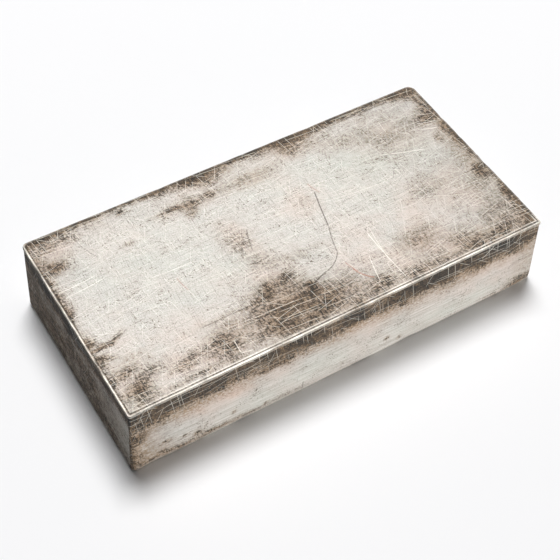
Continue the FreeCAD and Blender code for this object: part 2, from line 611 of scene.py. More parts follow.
DENTS: tuple[Dent, ...] = (
    # Knocks on the lip and the top edge.
    Dent((-36.0, -36.3, 27.6), (1.6, 0.8, 0.8), 0.16),
    Dent((4.0, -36.3, 27.6), (3.0, 0.9, 0.8), 0.14),
    Dent((57.0, -36.3, 27.4), (1.4, 0.9, 0.9), 0.18),
    Dent((61.5, -36.3, 27.6), (1.0, 0.8, 0.8), 0.18),
    Dent((33.0, -36.3, 27.4), (1.6, 0.8, 0.9), 0.14),
    Dent((-58.0, -36.3, 27.5), (1.3, 0.8, 0.8), 0.14),
    Dent((-72.8, 8.0, 27.5), (0.9, 1.6, 0.9), 0.18),
    Dent((-72.8, -18.0, 27.5), (0.9, 1.2, 0.9), 0.16),
    Dent((-72.8, 23.0, 27.5), (0.9, 2.2, 0.9), 0.15),
    Dent((72.8, 18.0, 27.5), (0.9, 1.4, 0.9), 0.20),
    Dent((72.8, 8.0, 27.5), (0.9, 1.0, 0.9), 0.16),
    Dent((72.8, -6.0, 27.5), (0.9, 1.8, 0.9), 0.18),
    Dent((30.0, 36.3, 27.5), (2.2, 0.9, 0.9), 0.16),
    Dent((-25.0, 36.3, 27.5), (1.6, 0.9, 0.9), 0.14),
    # Flats on the foot.
    Dent((-66.0, -37.0, 0.6), (4.0, 1.6, 1.4), 0.25),
    Dent((71.5, -37.0, 0.8), (2.5, 1.6, 1.6), 0.35),
    Dent((24.0, -37.0, 0.5), (3.0, 1.4, 1.2), 0.20),
    Dent((-73.4, 12.0, 0.6), (1.6, 4.0, 1.4), 0.25),
    Dent((-73.4, -30.0, 0.6), (1.6, 2.5, 1.4), 0.30),
    # Short gouges on the left end, plain knocks with no shape of a letter.
    Dent((-73.3, 10.5, 11.8), (1.4, 3.6, 1.3), 0.26),
    Dent((-73.4, -9.0, 9.2), (1.4, 3.4, 1.2), 0.26),
    Dent((-73.2, -13.5, 14.2), (1.4, 1.8, 1.7), 0.18),
    # Pits on the front.
    Dent((15.6, -36.8, 5.6), (0.9, 1.2, 0.8), 0.20),
    Dent((20.6, -36.9, 3.6), (0.8, 1.2, 0.7), 0.18),
    Dent((-51.0, -36.9, 4.2), (1.3, 1.2, 0.8), 0.20),
)


# ---------------------------------------------------------------------------------------------------
# Finishes
# ---------------------------------------------------------------------------------------------------


@dataclass(frozen=True)
class TarnishedSilver:
    """Fine silver, pressed and dulled by handling, with sulphide tarnish.

    It gives the eye a pale, slightly warm metal with no mirror left in it, since years of fine scratches
    spread its reflections. Tarnish lies over it as brown to black specks that run together into stains,
    and it is duller and less metallic than the silver.
    """

    silver: str = "#AFAEAA"
    silver_low: str = "#918E88"
    pink: str = "#B5A298"
    green: str = "#A3A89F"
    # Grey toning, which also lays the painted shade on the left end.
    grey: str = "#54524C"
    # The brown and the two tarnish colours also lay the painted shade on the left end, where the tarnish marks
    # hold it; the first tarnish colour also paints the shade in the groove inside the lip.
    brown: str = "#7D674F"
    tarnish: str = "#34291D"
    tarnish_deep: str = "#0C0B08"
    rust: str = "#8C5E4E"
    # Bright scratches, and the painted highlights along the lip and the foot.
    bright: str = "#EFEBE2"
    silver_metallic: float = 0.58
    tarnish_metallic: float = 0.30
    silver_roughness: float = 0.78
    tarnish_roughness: float = 0.80
    relief_strength: float = 0.55
    # The height of the grain and the brushing, in millimetres.
    relief_height: float = 0.10

    def scratch_group(self) -> bpy.types.NodeTree:
        """Makes the group that scatters short straight lines.

        The plane is cut into random cells, drawn out along one direction. Each cell holds one line
        through its point: the mask is one within half a line's width across it, and falls to nothing
        towards its ends. A share of the cells stay empty, and each line has its own bow.

        Returns:
            The node group.
        """
        tree = bpy.data.node_groups.new("Scattered lines", "ShaderNodeTree")
        for name, kind in (
            ("Vector", "NodeSocketVector"),
            ("Angle", "NodeSocketFloat"),
            ("Length", "NodeSocketFloat"),
            ("Spacing", "NodeSocketFloat"),
            ("Width", "NodeSocketFloat"),
            ("Share", "NodeSocketFloat"),
        ):
            tree.interface.new_socket(name, in_out="INPUT", socket_type=kind)
        tree.interface.new_socket("Mask", in_out="OUTPUT", socket_type="NodeSocketFloat")
        given = tree.nodes.new("NodeGroupInput").outputs
        turned = add_node(
            tree,
            "VectorRotate",
            {"rotation_type": "Z_AXIS"},
            {"Vector": given["Vector"], "Angle": given["Angle"]},
        )
        cell = add_node(tree, "CombineXYZ", None, {0: given["Length"], 1: given["Spacing"], 2: 1.0})
        place = add_node(tree, "VectorMath", {"operation": "DIVIDE"}, {0: turned, 1: cell})
        point = add_node(
            tree,
            "TexVoronoi",
            {"voronoi_dimensions": "2D", "feature": "F1"},
            {"Vector": place, "Scale": 1.0, "Randomness": 1.0},
            "Position",
        )
        chance = add_node(tree, "SeparateColor", None, {0: point.node.outputs["Color"]})
        away = add_node(tree, "VectorMath", {"operation": "SUBTRACT"}, {0: place, 1: point})
        along = add_node(tree, "SeparateXYZ", None, {0: away})
        across = along.node.outputs[1]
        along_squared = add_node(tree, "Math", {"operation": "MULTIPLY"}, {0: along, 1: along})
        bend = add_node(
            tree,
            "MapRange",
            None,
            {"Value": chance.node.outputs[1], "To Min": -0.4, "To Max": 0.4},
        )
        bowed = add_node(
            tree, "Math", {"operation": "MULTIPLY_ADD"}, {0: along_squared, 1: bend, 2: across}
        )
        in_mm = add_node(tree, "Math", {"operation": "MULTIPLY"}, {0: bowed, 1: given["Spacing"]})
        off = add_node(tree, "Math", {"operation": "ABSOLUTE"}, {0: in_mm})
        line = add_node(
            tree,
            "MapRange",
            {"interpolation_type": "SMOOTHSTEP"},
            {"Value": off, "From Min": 0.0, "From Max": given["Width"], "To Min": 1.0, "To Max": 0.0},
        )
        ends = add_node(
            tree,
            "MapRange",
            {"interpolation_type": "SMOOTHSTEP"},
            {"Value": along_squared, "From Min": 0.03, "From Max": 0.2, "To Min": 1.0, "To Max": 0.0},
        )
        present = add_node(
            tree, "Math", {"operation": "LESS_THAN"}, {0: chance, 1: given["Share"]}
        )
        shown = add_node(tree, "Math", {"operation": "MULTIPLY"}, {0: line, 1: ends})
        mask = add_node(tree, "Math", {"operation": "MULTIPLY"}, {0: shown, 1: present})
        out = tree.nodes.new("NodeGroupOutput")
        tree.links.new(mask, out.inputs[0])
        return tree

    def stroke_group(self) -> bpy.types.NodeTree:
        """Makes the group that draws one line between two points.

        With t the share of the way along the line, the mask is one within half the width of the line
        moved sideways by four times the bow times t times one minus t, and nothing past its ends.

        Returns:
            The node group.
        """
        tree = bpy.data.node_groups.new("One line", "ShaderNodeTree")
        for name, kind in (
            ("Vector", "NodeSocketVector"),
            ("Start", "NodeSocketVector"),
            ("Along", "NodeSocketVector"),
            ("Across", "NodeSocketVector"),
            ("Bow", "NodeSocketFloat"),
            ("Width", "NodeSocketFloat"),
        ):
            tree.interface.new_socket(name, in_out="INPUT", socket_type=kind)
        tree.interface.new_socket("Mask", in_out="OUTPUT", socket_type="NodeSocketFloat")
        given = tree.nodes.new("NodeGroupInput").outputs
        away = add_node(
            tree, "VectorMath", {"operation": "SUBTRACT"}, {0: given["Vector"], 1: given["Start"]}
        )
        share, aside = (
            add_node(tree, "VectorMath", {"operation": "DOT_PRODUCT"}, {0: away, 1: given[name]}, "Value")
            for name in ("Along", "Across")
        )
        rest = add_node(tree, "Math", {"operation": "SUBTRACT"}, {0: 1.0, 1: share})
        arch = add_node(tree, "Math", {"operation": "MULTIPLY"}, {0: share, 1: rest})
        shift = add_node(tree, "Math", {"operation": "MULTIPLY_ADD"}, {0: arch, 1: given["Bow"], 2: aside})
        off = add_node(tree, "Math", {"operation": "ABSOLUTE"}, {0: shift})
        line = add_node(
            tree,
            "MapRange",
            {"interpolation_type": "SMOOTHSTEP"},
            {"Value": off, "From Min": 0.0, "From Max": given["Width"], "To Min": 1.0, "To Max": 0.0},
        )
        ends = add_node(
            tree,
            "MapRange",
            {"interpolation_type": "SMOOTHSTEP"},
            {"Value": arch, "From Min": 0.0, "From Max": 0.06, "To Min": 0.0, "To Max": 1.0},
        )
        mask = add_node(tree, "Math", {"operation": "MULTIPLY"}, {0: line, 1: ends})
        out = tree.nodes.new("NodeGroupOutput")
        tree.links.new(mask, out.inputs[0])
        return tree

    def strokes(
        self, tree: bpy.types.NodeTree, where: Any, kind: Line, group: bpy.types.NodeTree
    ) -> Any:
        """Draws every single line of one kind and keeps the strongest at each place.

        Args:
            tree: The material's node tree.
            where: The socket with the face map's coordinates.
            kind: The kind of line.
            group: The group that draws one line.

        Returns:
            A socket with the mask of all the lines.
        """
        total: Any = None
        for scratch in SCRATCHES[kind]:
            start = np.array(scratch.face.on_map(*scratch.start))
            end = np.array(scratch.face.on_map(*scratch.end))
            run = end - start
            length = float(np.linalg.norm(run))
            mask = add_node(
                tree,
                "Group",
                {"node_tree": group},
                {
                    "Vector": where,
                    "Start": tuple(start),
                    "Along": tuple(run / length**2),
                    "Across": (-run[1] / length, run[0] / length, 0.0),
                    "Bow": 4 * scratch.bow,
                    "Width": scratch.width,
                },
            )
            scaled = add_node(tree, "Math", {"operation": "MULTIPLY"}, {0: mask, 1: scratch.strength})
            total = scaled if total is None else add_node(
                tree, "Math", {"operation": "MAXIMUM"}, {0: total, 1: scaled}
            )
        return total

    def material(self) -> bpy.types.Material:
        """Builds the whole finish as one node material.

        Returns:
            The material.
        """
        finish = bpy.data.materials.new("Tarnished fine silver")
        finish.use_nodes = True
        finish.node_tree.nodes.clear()
        SilverNodes(self, finish.node_tree).shade()
        return finish


class SilverNodes:
    """The node tree of the tarnished silver, built up field by field.

    The face map gives it places in millimetres, and the mesh's attributes give it the marks, the distance
    in from the lip's edge, and the wear with the painted highlights along the lip and the foot. Each method
    below adds to the one tree and returns sockets.
    """

    def __init__(self, finish: TarnishedSilver, tree: bpy.types.NodeTree) -> None:
        """Starts the tree with what it reads from the mesh, and with its noise fields.

        Args:
            finish: The finish's colours and other values.
            tree: The material's empty node tree.
        """
        self.finish = finish
        self.tree = tree
        self.scattered = finish.scratch_group()
        self.single = finish.stroke_group()
        self.where = add_node(tree, "UVMap", {"uv_map": FACE_MAP})
        self.marks = {mark: self.attribute(mark.value) for mark in Mark}
        self.rim = self.attribute("rim")
        self.wear_and_highlight = self.attribute("wear_and_highlight")
        # One on the upper face and nothing on the sides.
        self.on_flat = add_node(tree, "MapRange", None, {"Value": self.rim, "From Min": 0.2, "From Max": 0.6})
        self.grain = self.noise(0.42, 0.42, 0, 3.0, 0.7)
        self.speck = self.noise(1.1, 0.8, 12, 5.0, 0.75)
        self.drift = self.noise(9.0, 6.0, -8, 4.0, 0.6)
        self.brush = self.noise(14.0, 0.38, 1.5, 2.0, 0.6)
        self.tint_drift = self.noise(16.0, 11.0, 20, 3.0, 0.6)
        # Fine hatching: grains drawn out up, across and aslant.
        self.hatch = self.strongest(
            [
                self.noise(0.34, 4.0, 6, 2.0, 0.6),
                self.noise(5.0, 0.32, -4, 2.0, 0.6),
                self.noise(4.0, 0.34, 38, 2.0, 0.6),
            ]
        )

    def attribute(self, name: str) -> Any:
        """The socket of one of the mesh's attributes."""
        return add_node(
            self.tree, "Attribute", {"attribute_type": "GEOMETRY", "attribute_name": name}, None, "Fac"
        )

    def over(self, below: Any, above: Any, how_much: Any) -> Any:
        """A socket with one colour or value laid over another."""
        return add_node(
            self.tree,
            "Mix",
            {"data_type": "RGBA", "clamp_factor": True},
            {0: how_much, 6: below, 7: above},
            2,
        )

    def scaled(self, value: Any, by: float, plus: Any = 0.0) -> Any:
        """A socket with a value times a number, plus another value."""
        return add_node(self.tree, "Math", {"operation": "MULTIPLY_ADD"}, {0: value, 1: by, 2: plus})

    def total(self, sockets: list[Any], operation: str = "ADD") -> Any:
        """Joins several values into one, two at a time.

        Args:
            sockets: The values, in the order in which they are joined.
            operation: The Math node's operation.

        Returns:
            A socket with the result.
        """
        result = sockets[0]
        for socket in sockets[1:]:
            result = add_node(self.tree, "Math", {"operation": operation}, {0: result, 1: socket})
        return result

    def times(self, first: Any, second: Any) -> Any:
        """A socket with the product of two values."""
        return self.total([first, second], "MULTIPLY")

    def strongest(self, sockets: list[Any]) -> Any:
        """A socket with the largest of several values."""
        return self.total(sockets, "MAXIMUM")

    def noise(self, size_u: float, size_v: float, turn_deg: float, detail: float, rough: float) -> Any:
        """Adds a noise field with grains of a given size, turned on the face.

        Args:
            size_u: The grain's size along the face, in millimetres.
            size_v: The grain's size across it, in millimetres.
            turn_deg: How far the field is turned.
            detail: How many finer octaves it has.
            rough: How strong each octave is beside the one before.

        Returns:
            A socket with values from nothing to one, and one half on average.
        """
        turned = add_node(
            self.tree,
            "VectorRotate",
            {"rotation_type": "Z_AXIS"},
            {"Vector": self.where, "Angle": math.radians(turn_deg)},
        )
        # The location moves each field to a part of the noise of its own.
        placed = add_node(
            self.tree,
            "Mapping",
            {"vector_type": "POINT"},
            {
                "Vector": turned,
                "Scale": (1 / size_u, 1 / size_v, 1.0),
                "Location": (size_u * 3.7 + turn_deg, size_v * 9.1, 0.0),
            },
        )
        return add_node(
            self.tree,
            "TexNoise",
            {"noise_dimensions": "2D"},
            {"Vector": placed, "Scale": 1.0, "Detail": detail, "Roughness": rough},
            "Fac",
        )

    def lines(self, angle_deg: float, length: float, spacing: float, width: float, share: float) -> Any:
        """Adds one scatter of short lines.

        Args:
            angle_deg: The lines' direction on the face.
            length: The length of a line's cell, in millimetres.
            spacing: The width of a line's cell, in millimetres.
            width: Half the width of a line, in millimetres.
            share: The share of the cells that hold a line.

        Returns:
            A socket with the lines' mask.
        """
        return add_node(
            self.tree,
            "Group",
            {"node_tree": self.scattered},
            {
                "Vector": self.where,
                "Angle": math.radians(angle_deg),
                "Length": length,
                "Spacing": spacing,
                "Width": width,
                "Share": share,
            },
        )

    def drawn(self, kind: Line) -> Any:
        """The mask of every single line of one kind."""
        return self.finish.strokes(self.tree, self.where, kind, self.single)

    def stains_and_shade(self) -> tuple[Any, Any]:
        """Breaks the tarnish, with the painted shade on the left end that it also holds, into specks and fine
        hatching.

        The noise fields are added to the amount of tarnish, and the sum is cut at two levels.

        Returns:
            The masks of the stains, which hold the painted shade on the left end too, and of their darkest
            parts.
        """
        mixed = self.total(
            [
                self.scaled(self.speck, 2.2, -1.1),
                self.scaled(self.hatch, 1.8, -1.10),
                self.scaled(self.grain, 1.4, -0.70),
                self.scaled(self.drift, 1.1, -0.55),
            ]
        )
        level = self.total([self.marks[Mark.TARNISH], mixed])
        stain_and_shade, deep_stain_and_shade = (
            add_node(
                self.tree,
                "MapRange",
                {"interpolation_type": "SMOOTHSTEP"},
                {"Value": level, "From Min": low, "From Max": high},
            )
            for low, high in ((0.22, 0.74), (0.75, 1.55))
        )
        return stain_and_shade, deep_stain_and_shade

    def bright_lines(self) -> Any:
        """Adds the bright lines: scatters in five directions, and the single ones.

        Returns:
            Their mask.
        """
        scatter = self.strongest(
            [
                self.lines(4, 18, 1.5, 0.14, 0.50),
                self.lines(-14, 13, 1.9, 0.13, 0.40),
                self.lines(82, 11, 1.8, 0.13, 0.45),
                self.lines(-62, 9, 2.6, 0.13, 0.28),
                self.lines(38, 8, 2.8, 0.13, 0.25),
            ]
        )
        # They show most where they cut through tarnish.
        on_silver = self.scaled(self.times(self.on_flat, self.drift), 0.38, 0.03)
        strength = self.scaled(self.marks[Mark.TARNISH], 0.28, on_silver)
        return self.strongest([self.times(scatter, strength), self.drawn(Line.BRIGHT)])

    def dark_lines(self) -> Any:
        """Adds the dark lines: scatters in four directions, and the single ones.

        Returns:
            Their mask.
        """
        scatter = self.strongest(
            [
                self.lines(-3, 12, 2.1, 0.15, 0.35),
                self.lines(96, 9, 2.0, 0.15, 0.38),
                self.lines(58, 7, 3.0, 0.15, 0.22),
                self.lines(-35, 7, 3.2, 0.15, 0.2),
            ]
        )
        strength = self.scaled(self.on_flat, 0.26, 0.06)
        return self.strongest([self.times(scatter, strength), self.drawn(Line.DARK)])

    def flecks(self) -> Any:
        """Adds short black flecks, which crowd where there is tarnish.

        Returns:
            Their mask.
        """
        scatter = self.strongest(
            [
                self.lines(88, 2.2, 0.75, 0.34, 0.55),
                self.lines(3, 2.6, 0.75, 0.32, 0.5),
                self.lines(50, 1.6, 0.9, 0.36, 0.4),
            ]
        )
        crowd = add_node(
            self.tree,
            "MapRange",
            None,
            {
                "Value": self.marks[Mark.TARNISH],
                "From Min": 0.03,
                "From Max": 0.38,
                "To Min": 0.06,
                "To Max": 1.0,
            },
        )
        return self.times(scatter, self.times(crowd, self.scaled(self.drift, 2.4, -0.4)))

    def tinted(self) -> Any:
        """Makes the metal's own colour, with its tints, the grey that is partly toning and partly painted shade
        on the left end, and the thin brown veil round each stain.

        Returns:
            The colour's socket.
        """
        finish, marks = self.finish, self.marks
        streaks = self.scaled(self.brush, 3.2, -1.2)
        on_top = self.scaled(self.total([self.grain, self.hatch]), 2.6, -2.45)
        mottle = self.over(streaks, on_top, self.on_flat)
        colour = self.over(linear(finish.silver), linear(finish.silver_low), mottle)
        blush = self.total([self.scaled(marks[Mark.PINK], 0.8), 0.24])
        grey_and_shade_mottle = self.scaled(self.total([self.drift, self.speck]), 2.4, -1.4)
        veil = self.scaled(self.total([self.drift, self.brush]), 1.6, -0.35)
        for tint, how_much, where in (
            (finish.pink, blush, self.scaled(self.tint_drift, 1.6, -0.3)),
            (finish.green, marks[Mark.GREEN], self.scaled(self.tint_drift, -1.6, 1.3)),
            (finish.grey, marks[Mark.GREY], grey_and_shade_mottle),
            (finish.brown, marks[Mark.BROWN], self.scaled(self.speck, 2.8, -0.85)),
            (finish.brown, marks[Mark.TARNISH], veil),
        ):
            colour = self.over(colour, linear(tint), self.times(how_much, where))
        return colour

    def rim_wear_highlight_and_groove_shade(self, colour: Any) -> Any:
        """Lays the rim over a colour: a bright edge that is partly rubbed wear and partly a painted highlight,
        and a dark hair line of painted shade in the groove just inside it.

        Args:
            colour: The colour's socket.

        Returns:
            The new colour's socket.
        """
        # The bright edge: partly rubbed wear, partly a painted highlight on the lip and the foot.
        rubbed_and_highlight = self.times(self.wear_and_highlight, self.scaled(self.speck, 2.2, -0.10))
        colour = self.over(colour, linear(self.finish.bright), rubbed_and_highlight)
        away = self.total([self.total([self.rim, GROOVE_IN], "SUBTRACT"), 0.0], "ABSOLUTE")
        groove = add_node(
            self.tree,
            "MapRange",
            {"interpolation_type": "SMOOTHSTEP"},
            {"Value": away, "From Min": 0.08, "From Max": 0.26, "To Min": 0.75, "To Max": 0.0},
        )
        # A dark line of painted shade in the groove inside the lip.
        groove_shade = self.times(groove, self.scaled(self.speck, 2.0, -0.2))
        return self.over(colour, linear(self.finish.tarnish), groove_shade)

    def shade(self) -> None:
        """Lays on the marks in the order in which the metal gained them, and ends the tree in its shader."""
        finish, tree = self.finish, self.tree
        stain_and_shade, deep_stain_and_shade = self.stains_and_shade()
        bright_lines = self.bright_lines()
        dark_lines = self.dark_lines()
        colour = self.tinted()
        for layer, how_much in (
            # These stain layers also lay the painted shade on the left end.
            (finish.brown, self.scaled(stain_and_shade, 0.60)),
            (finish.tarnish, self.scaled(stain_and_shade, 0.85)),
            (finish.tarnish_deep, deep_stain_and_shade),
            (finish.tarnish, dark_lines),
            (finish.tarnish_deep, self.flecks()),
            (finish.rust, self.drawn(Line.RUST)),
            (finish.bright, bright_lines),
        ):
            colour = self.over(colour, linear(layer), how_much)
        colour = self.rim_wear_highlight_and_groove_shade(colour)

        dull = self.strongest([stain_and_shade, dark_lines])
        kept = add_node(
            tree, "Math", {"operation": "SUBTRACT", "use_clamp": True}, {0: dull, 1: bright_lines}
        )
        metallic = self.scaled(kept, finish.tarnish_metallic - finish.silver_metallic, finish.silver_metallic)
        evenly = self.scaled(
            kept, finish.tarnish_roughness - finish.silver_roughness, finish.silver_roughness
        )
        roughness = self.total([evenly, self.scaled(self.grain, 0.16, -0.08)])
        relief = self.total(
            [self.scaled(self.grain, 0.35), self.scaled(self.brush, 0.35), self.scaled(self.speck, 0.4)]
        )
        normal = add_node(
            tree,
            "Bump",
            None,
            {"Strength": finish.relief_strength, "Distance": finish.relief_height * MM, "Height": relief},
            "Normal",
        )
        shader = add_node(
            tree,
            "BsdfPrincipled",
            None,
            {"Base Color": colour, "Metallic": metallic, "Roughness": roughness, "Normal": normal},
        )
        add_node(tree, "OutputMaterial", None, {"Surface": shader})


@dataclass(frozen=True)
class PaleFloor:
    """Matt white studio paper. It gives the eye a clean ground that fades into the backdrop."""

    white: str = "#F7F7F8"
    shaded: str = "#F5F5F6"
    roughness: float = 0.9

    def material(self) -> bpy.types.Material:
        """Builds the floor's material: white paper with a faint, wide unevenness.

        Returns:
            The material.
        """
        finish = bpy.data.materials.new("White studio paper")
        finish.use_nodes = True
        tree = finish.node_tree
        tree.nodes.clear()
        where = add_node(tree, "TexCoord", None, None, "Object")
        unevenness = add_node(tree, "TexNoise", None, {"Vector": where, "Scale": 6.0, "Detail": 2.0}, "Fac")
        colour = add_node(
            tree,
            "Mix",
            {"data_type": "RGBA"},
            {0: unevenness, 6: linear(self.white), 7: linear(self.shaded)},
            2,
        )
        shader = add_node(
            tree, "BsdfPrincipled", None, {"Base Color": colour, "Roughness": self.roughness}
        )
        add_node(tree, "OutputMaterial", None, {"Surface": shader})
        return finish


# ---------------------------------------------------------------------------------------------------
# The bar
# ---------------------------------------------------------------------------------------------------


@dataclass
class SilverBar:
    """The bar's own surface: the CAD solid's shape with its fine wear. All sizes are in millimetres."""

    low: Vector
    high: Vector
    draft_deg: float = 2.5
    lip_proud: float = 0.30
    lip_depth: float = 1.10
    lip_round: float = 0.32
    foot_round: float = 1.30
    # The corners seen from above at the foot: front left, front right, back right, back left.
    corners: tuple[float, float, float, float] = (1.8, 1.8, 3.8, 2.8)
    corner_zone: float = 4.6
    spacing: float = 0.68
    row_spacing: float = 0.85
    object: Optional[bpy.types.Object] = None
    rim_insets: tuple[float, ...] = (
        0.0, 0.14, 0.30, 0.48, 0.66, 0.80, 0.92, 1.04, 1.18, 1.36, 1.60, 1.95, 2.45, 3.10, 3.85, 4.6,
    )

    @property
    def height(self) -> float:
        """The bar's height."""
        return (self.high.z - self.low.z) / MM

    @property
    def lean(self) -> float:
        """How far a side moves in for each millimetre of height."""
        return math.tan(math.radians(self.draft_deg))

    @property
    def half_foot(self) -> tuple[float, float]:
        """Half the length and half the width that the leaning sides would reach at the very foot."""
        # The solid's widest place is where the foot's rounding ends.
        slack = self.lean * self.foot_round
        return ((self.high.x - self.low.x) / MM / 2 + slack, (self.high.y - self.low.y) / MM / 2 + slack)

    def grid_lines(self, half: float, cells: int) -> np.ndarray:
        """Places grid lines across a face: close ones near both edges and even ones between.

        Args:
            half: Half the face's size along this direction.
            cells: The number of even cells between the two edge zones.

        Returns:
            The lines' places, from minus half to half.
        """
        edge = np.array(self.rim_insets)
        inner = half - edge[-1]
        middle = np.linspace(-inner, inner, cells + 1)
        return np.concatenate([-half + edge[:-1], middle, (half - edge[:-1])[::-1]])

    def round_corners(
        self, x: np.ndarray, y: np.ndarray, half: tuple[float, float], radii: tuple[float, ...]
    ) -> tuple[np.ndarray, np.ndarray]:
        """Bends a square-cornered grid so that its outline has round corners.

        In each corner's zone, the squares round the zone's inner point become squares with a rounded
        outer corner. A point keeps its share of the way along its square. The rounding grows from
        nothing at the inner point to the full radius at the outline.

        Args:
            x: The grid's places along X.
            y: The grid's places along Y.
            half: Half the outline's length and width.
            radii: The four corner radii at the outline.

        Returns:
            The bent places along X and along Y.
        """
        zone = self.corner_zone
        out_x, out_y = x.copy(), y.copy()
        for (sign_x, sign_y), radius in zip(((-1, -1), (1, -1), (1, 1), (-1, 1)), radii):
            u = sign_x * x - (half[0] - zone)
            v = sign_y * y - (half[1] - zone)
            inside = (u > 0) & (v > 0)
            far = np.where(inside, np.maximum(u, v), 1.0)
            near = np.where(inside, np.minimum(u, v), 0.0)
            rounding = radius * (far / zone) ** 2
            straight = far - rounding
            run = near / far * (straight + math.pi / 4 * rounding)
            angle = np.maximum(run - straight, 0) / np.maximum(rounding, 1e-9)
            on_arc = run > straight
            new_far = np.where(on_arc, straight + rounding * np.cos(angle), far)
            new_near = np.where(on_arc, straight + rounding * np.sin(angle), run)
            new_u = np.where(u >= v, new_far, new_near)
            new_v = np.where(u >= v, new_near, new_far)
            out_x = np.where(inside, sign_x * (new_u + half[0] - zone), out_x)
            out_y = np.where(inside, sign_y * (new_v + half[1] - zone), out_y)
        return out_x, out_y

    def profile(self) -> tuple[np.ndarray, np.ndarray]:
        """The section between the underside's flat and the upper face's flat.

        It runs out along the foot's arc, up the leaning side, in a little under the lip, out and round
        the lip, and in over its rounded top.

        Returns:
            How far each row lies inside the side's own line, and its height.
        """
        foot = self.foot_round
        turn = np.radians(np.linspace(0, 90, 7)[1:])
        foot_in = foot - foot * np.sin(turn)
        foot_up = foot - foot * np.cos(turn)
        lip_low = self.height - self.lip_depth
        rows = int(round((lip_low - 0.45 - foot) / self.row_spacing))
        side_up = np.linspace(foot, lip_low - 0.45, rows + 1)[1:]
        side_in = np.zeros_like(side_up)
        under_up = np.array([lip_low - 0.22, lip_low - 0.06, lip_low + 0.02, lip_low + 0.10, lip_low + 0.26])
        under_in = np.array([0.05, 0.10, -0.02, -0.22, -0.30])
        lip_up = np.array([lip_low + 0.45, self.height - self.lip_round - 0.12])
        lip_in = np.full(2, -self.lip_proud)
        over = np.radians(np.linspace(0, 90, 6)[:-1])
        top_up = self.height - self.lip_round * (1 - np.sin(over))
        top_in = -self.lip_proud + self.lip_round * (1 - np.cos(over))
        inset = np.concatenate([foot_in, side_in, under_in, lip_in, top_in])
        up = np.concatenate([foot_up, side_up, under_up, lip_up, top_up])
        return inset, up

    def outline(self, inset: float, up: float) -> tuple[tuple[float, float], tuple[float, ...]]:
        """Half sizes and corner radii of the outline at one row.

        Args:
            inset: How far the row lies inside the side's own line.
            up: The row's height.

        Returns:
            Half the length and width, and the four corner radii.
        """
        inward = inset + self.lean * up
        half = (self.half_foot[0] - inward, self.half_foot[1] - inward)
        radii = tuple(max(radius - inward, 0.45) for radius in self.corners)
        return half, radii

    def surface(self) -> tuple[np.ndarray, np.ndarray, np.ndarray]:
        """Builds the closed surface.

        The upper face and the underside are grids, and the rows of the profile join the upper grid's
        border to the lower one's.

        Returns:
            The vertices, the four-cornered faces, and each vertex's distance in from the lip's edge,
            which is below zero on the sides.
        """
        inset, up = self.profile()
        top_inset = -self.lip_proud + self.lip_round
        top_half, top_radii = self.outline(top_inset, self.height)
        foot_half, foot_radii = self.outline(self.foot_round, 0.0)
        cells_x = int(round(2 * (top_half[0] - self.corner_zone) / self.spacing))
        cells_y = int(round(2 * (top_half[1] - self.corner_zone) / self.spacing))

        def grid(half: tuple[float, float], radii: tuple[float, ...]) -> tuple[np.ndarray, np.ndarray]:
            """The bent grid of a flat face."""
            x, y = np.meshgrid(
                self.grid_lines(half[0], cells_x), self.grid_lines(half[1], cells_y), indexing="ij"
            )
            return self.round_corners(x, y, half, radii)

        top_x, top_y = grid(top_half, top_radii)
        foot_x, foot_y = grid(foot_half, foot_radii)
        count_x, count_y = top_x.shape
        number = np.arange(count_x * count_y).reshape(count_x, count_y)
        border = np.concatenate([number[:-1, 0], number[-1, :-1], number[:0:-1, -1], number[0, :0:-1]])

        rings = []
        for row_inset, row_up in zip(inset, up):
            half, radii = self.outline(row_inset, row_up)
            line_x = self.grid_lines(half[0], cells_x)
            line_y = self.grid_lines(half[1], cells_y)
            end_x = np.full(count_y - 1, half[0])
            side_y = np.full(count_x - 1, half[1])
            x = np.concatenate([line_x[:-1], end_x, line_x[:0:-1], -end_x])
            y = np.concatenate([-side_y, line_y[:-1], side_y, line_y[:0:-1]])
            x, y = self.round_corners(x, y, half, radii)
            rings.append(np.stack([x, y, np.full(len(x), row_up)], axis=1))

        top = np.stack([top_x, top_y, np.full_like(top_x, self.height)], axis=-1).reshape(-1, 3)
        foot = np.stack([foot_x, foot_y, np.zeros_like(foot_x)], axis=-1).reshape(-1, 3)
        points = np.concatenate([top, foot, *rings])

        flat = np.stack(
            [number[:-1, :-1], number[1:, :-1], number[1:, 1:], number[:-1, 1:]], axis=-1
        ).reshape(-1, 4)
        around = len(border)
        first_ring = 2 * number.size
        ring_numbers = [border + number.size]
        ring_numbers += [first_ring + row * around + np.arange(around) for row in range(len(rings))]
        ring_numbers.append(border)
        walls = []
        for below, above in zip(ring_numbers[:-1], ring_numbers[1:]):
            walls.append(np.stack([below, np.roll(below, -1), np.roll(above, -1), above], axis=1))
        faces = np.concatenate([flat, flat[:, ::-1] + number.size, *walls])

        sharp_x, sharp_y = np.meshgrid(
            self.grid_lines(top_half[0], cells_x), self.grid_lines(top_half[1], cells_y), indexing="ij"
        )
        inward = np.minimum(top_half[0] - np.abs(sharp_x), top_half[1] - np.abs(sharp_y)) + self.lip_round
        rim = np.full(len(points), -5.0)
        rim[: number.size] = inward.reshape(-1)
        ring_rim = np.where(up > self.height - self.lip_depth, inset + self.lip_proud, up - self.height)
        rim[first_ring:] = np.repeat(ring_rim, around)
        return points, faces, rim

    def worn(self, points: np.ndarray, rim: np.ndarray) -> np.ndarray:
        """Adds the fine unevenness: soft waves, a groove inside the rim, a wavering lip, and dents.

        Every move goes inwards, so that the bar stays inside the solid's box.

        Args:
            points: The smooth surface.
            rim: Each point's distance in from the lip's edge.

        Returns:
            The worn surface.
        """
        moved = points.copy()
        on_top = rim > 0.3
